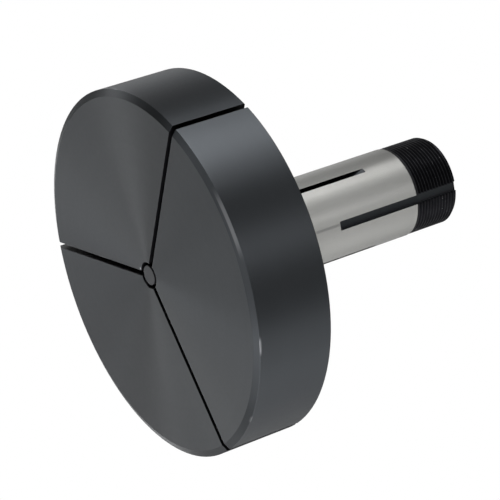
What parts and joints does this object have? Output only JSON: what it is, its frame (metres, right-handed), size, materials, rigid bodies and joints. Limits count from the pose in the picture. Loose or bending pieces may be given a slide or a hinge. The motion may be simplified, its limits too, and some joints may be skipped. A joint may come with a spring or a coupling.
{
  "type": "step collet",
  "caption": "Step collet: a wide, flat, slotted steel head on a ground, slit shank with a drawbar thread, for holding large thin discs in a lathe spindle.",
  "frame": {"origin": "centre of the shank's threaded end, on which the collet stands", "axes": "+Z along the axis, from the threaded end to the face of the head; +X along the first slot; -X through the keyway"},
  "size_m": [0.127, 0.127, 0.1173],
  "materials": {
    "blackened_steel": "turned and blackened, with the outside of the shank ground bright",
    "plug_steel": "turned and blackened"
  },
  "bodies": {
    "root": {"collet_body": "blackened_steel", "centre_plug": "plug_steel"}
  },
  "joints": []
}
